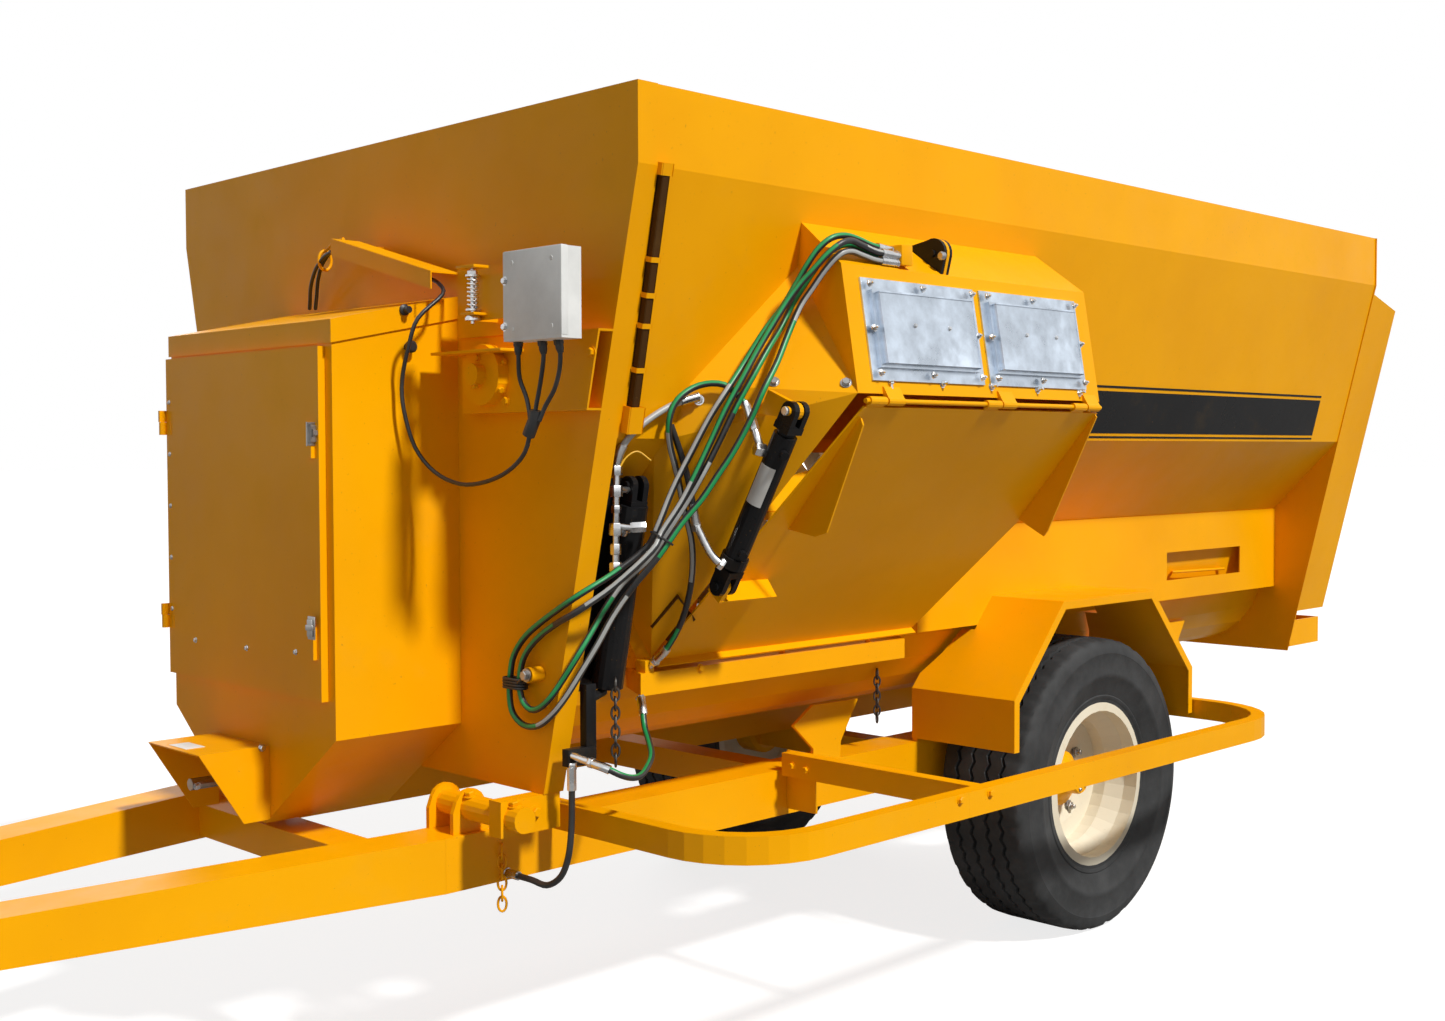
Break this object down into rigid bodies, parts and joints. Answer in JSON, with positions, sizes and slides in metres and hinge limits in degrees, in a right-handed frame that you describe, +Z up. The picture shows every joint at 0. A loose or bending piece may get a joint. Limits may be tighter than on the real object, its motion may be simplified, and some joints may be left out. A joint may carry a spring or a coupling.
{
  "type": "feed mixer wagon",
  "caption": "Towed feed mixer wagon with an open tank over horizontal augers, a side discharge door with its cylinder, a drive cabinet in front and a parking jack.",
  "frame": {"origin": "centre of the machine's footprint, on the ground", "axes": "+X forward to the hitch, +Y to the machine's left where it discharges, +Z up"},
  "size_m": [7.31, 2.69, 2.75],
  "materials": {
    "yellow_paint": "gloss paint",
    "black_paint": "gloss paint",
    "cream_paint": "gloss paint",
    "bright_steel": "worn bright",
    "zinc_plate": "zinc plated",
    "galvanised": "galvanised",
    "white_plastic": "matt",
    "tyre": "worn rubber"
  },
  "bodies": {
    "chassis_and_tank": {"axle_beam": "yellow_paint", "bearing_plate_left": "yellow_paint", "bearing_plate_right": "yellow_paint", "cabinet_lid": "yellow_paint", "cabinet_shell": "yellow_paint", "cable_channel": "zinc_plate", "crossbeam_front": "yellow_paint", "crossbeam_mid": "yellow_paint", "crossbeam_rear": "yellow_paint", "discharge_housing": "yellow_paint", "discharge_sill": "yellow_paint", "fender_left": "yellow_paint", "fender_right": "yellow_paint", "front_bulkhead": "yellow_paint", "gate_cylinder": "black_paint", "guard_brace": "yellow_paint", "guard_front": "yellow_paint", "guard_rear": "yellow_paint", "hitch": "yellow_paint", "hood_stay": "black_paint", "indicator": "white_plastic", "indicator_bracket": "zinc_plate", "jack_tube": "yellow_paint", "magnet_plate_front": "galvanised", "magnet_plate_rear": "galvanised", "pto_shield": "yellow_paint", "rail_left": "yellow_paint", "rail_right": "yellow_paint", "rear_bulkhead": "yellow_paint", "side_left": "yellow_paint", "side_right": "yellow_paint", "skirt_left": "yellow_paint", "skirt_right": "yellow_paint", "tongue_left": "yellow_paint", "tongue_right": "yellow_paint", "trough": "yellow_paint", "weigh_bar_left": "yellow_paint", "weigh_bar_right": "yellow_paint"},
    "wheel_left": {"hub_left": "yellow_paint", "rim_left": "cream_paint", "tyre_left": "tyre"},
    "wheel_right": {"hub_right": "yellow_paint", "rim_right": "cream_paint", "tyre_right": "tyre"},
    "auger_lower_left": {"auger_lower_left": "bright_steel"},
    "auger_lower_right": {"auger_lower_right": "bright_steel"},
    "auger_upper_left": {"auger_upper_left": "bright_steel"},
    "auger_upper_right": {"auger_upper_right": "bright_steel"},
    "pto": {"pto_shaft": "bright_steel"},
    "cabinet_door": {"cabinet_door": "yellow_paint"},
    "discharge_door": {"discharge_door": "yellow_paint"},
    "door_cylinder_barrel": {"door_cylinder_barrel": "black_paint"},
    "door_cylinder_rod": {"door_cylinder_rod": "black_paint"},
    "jack_leg": {"jack_leg": "zinc_plate"}
  },
  "joints": [
    {"name": "wheel_left_spin", "type": "hinge", "parent": "chassis_and_tank", "child": "wheel_left", "pos_m": [-1.405, 0.7275, 0.5485], "axis": [0, 1, 0], "continuous": true},
    {"name": "wheel_right_spin", "type": "hinge", "parent": "chassis_and_tank", "child": "wheel_right", "pos_m": [-1.405, -0.9875, 0.5485], "axis": [0, 1, 0], "continuous": true},
    {"name": "auger_lower_left_spin", "type": "hinge", "parent": "chassis_and_tank", "child": "auger_lower_left", "pos_m": [-1.13, 0.205, 1.23], "axis": [1, 0, 0], "continuous": true},
    {"name": "auger_lower_right_spin", "type": "hinge", "parent": "chassis_and_tank", "child": "auger_lower_right", "pos_m": [-1.13, -0.465, 1.23], "axis": [1, 0, 0], "continuous": true},
    {"name": "auger_upper_left_spin", "type": "hinge", "parent": "chassis_and_tank", "child": "auger_upper_left", "pos_m": [-1.13, 0.523, 2.018], "axis": [1, 0, 0], "continuous": true},
    {"name": "auger_upper_right_spin", "type": "hinge", "parent": "chassis_and_tank", "child": "auger_upper_right", "pos_m": [-1.13, -0.783, 2.018], "axis": [1, 0, 0], "continuous": true},
    {"name": "pto_spin", "type": "hinge", "parent": "chassis_and_tank", "child": "pto", "pos_m": [1.5126, -0.21, 0.846], "axis": [1, 0, 0], "continuous": true},
    {"name": "cabinet_door_swing", "type": "hinge", "parent": "chassis_and_tank", "child": "cabinet_door", "pos_m": [1.5426, -0.629, 1.6], "axis": [0, 0, -1], "range_deg": [0, 110]},
    {"name": "discharge_door_swing", "type": "hinge", "parent": "chassis_and_tank", "child": "discharge_door", "pos_m": [-0.105, 1.32, 1.942], "axis": [1, 0, 0], "range_deg": [0, 60]},
    {"name": "door_cylinder_swing", "type": "hinge", "parent": "chassis_and_tank", "child": "door_cylinder_barrel", "pos_m": [0.665, 1.232, 1.912], "axis": [1, 0, 0], "range_deg": [0, 63.48]},
    {"name": "door_cylinder_stroke", "type": "slide", "parent": "door_cylinder_barrel", "child": "door_cylinder_rod", "axis": [0, -0.493, -0.87], "range_m": [0, 0.0858]},
    {"name": "jack_leg_slide", "type": "slide", "parent": "chassis_and_tank", "child": "jack_leg", "axis": [0, 0, 1], "range_m": [0, 0.34]}
  ],
  "couplings": [
    {"joint": "auger_lower_right_spin", "follows": "auger_lower_left_spin", "ratio": -1},
    {"joint": "auger_upper_left_spin", "follows": "auger_lower_left_spin", "ratio": -0.75},
    {"joint": "auger_upper_right_spin", "follows": "auger_lower_left_spin", "ratio": 0.75},
    {"joint": "pto_spin", "follows": "auger_lower_left_spin", "ratio": -16},
    {"joint": "door_cylinder_swing", "follows": "discharge_door_swing", "ratio": 1.0563},
    {"joint": "door_cylinder_stroke", "follows": "discharge_door_swing", "m_per_rad": 0.0815}
  ]
}
